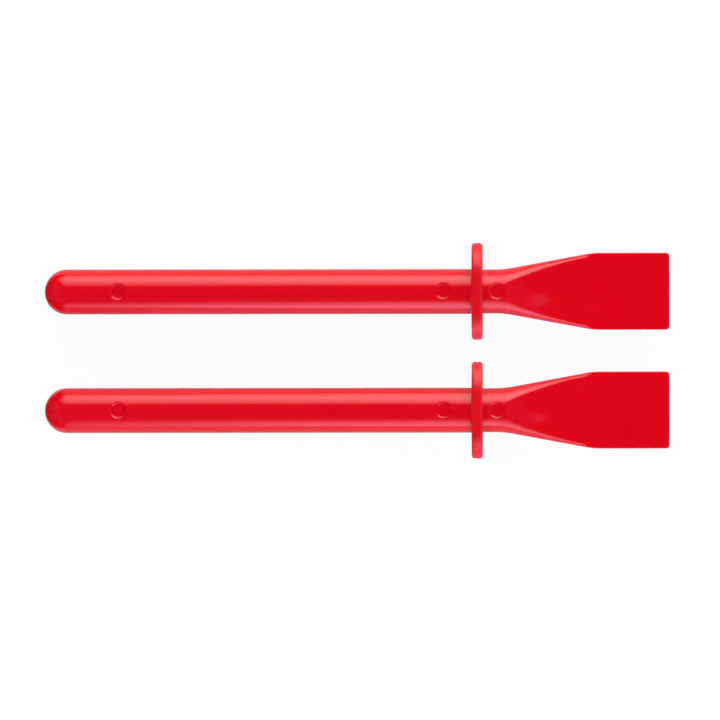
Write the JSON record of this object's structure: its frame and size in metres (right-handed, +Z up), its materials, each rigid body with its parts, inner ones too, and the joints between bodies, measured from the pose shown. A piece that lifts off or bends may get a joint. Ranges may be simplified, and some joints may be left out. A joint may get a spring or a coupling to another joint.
{
  "type": "glue spreaders",
  "caption": "Moulded plastic glue spreaders lying side by side, each a round handle with a domed end, an oval stop collar and a neck that flares and thins into a flat blade.",
  "frame": {"origin": "on the table, under the middle of the pair's box", "axes": "+X along the spreaders, from the domed ends to the blades; +Y across the pair, to the rear spreader; +Z up from the table"},
  "size_m": [0.14, 0.0482, 0.0144],
  "materials": {
    "red_plastic": "gloss"
  },
  "bodies": {
    "root": {"rear_spreader": "red_plastic", "front_spreader": "red_plastic"}
  },
  "joints": []
}
